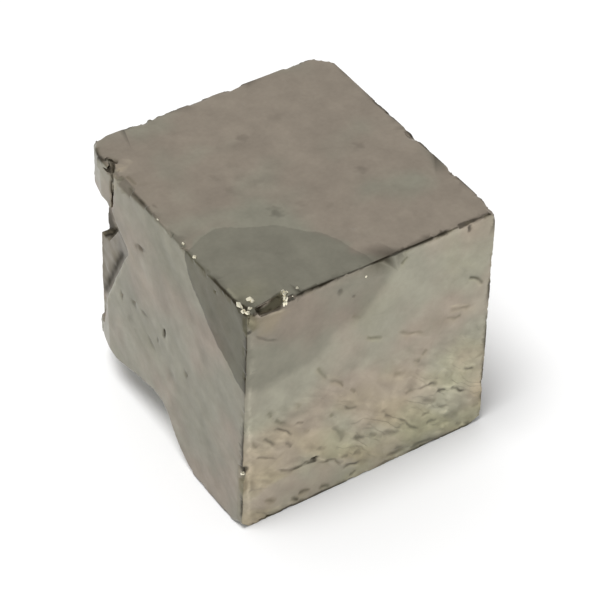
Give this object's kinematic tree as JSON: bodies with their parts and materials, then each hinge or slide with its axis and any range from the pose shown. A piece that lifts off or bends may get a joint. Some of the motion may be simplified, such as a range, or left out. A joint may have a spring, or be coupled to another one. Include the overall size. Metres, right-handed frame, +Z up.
{
  "type": "pyrite crystal",
  "caption": "Single cube-shaped pyrite crystal with worn edges, a rippled front face, a notched rear edge and a broken foot.",
  "frame": {"origin": "bottom centre of the bounding box, on the face that the crystal rests on", "axes": "+Z up from the resting face, +Y along the longest edges towards the rear, +X towards the right face"},
  "size_m": [0.0314, 0.0324, 0.03],
  "materials": {
    "pyrite": "dull metallic lustre, pale brass grey"
  },
  "bodies": {
    "root": {"pyrite_cube": "pyrite"}
  },
  "joints": []
}
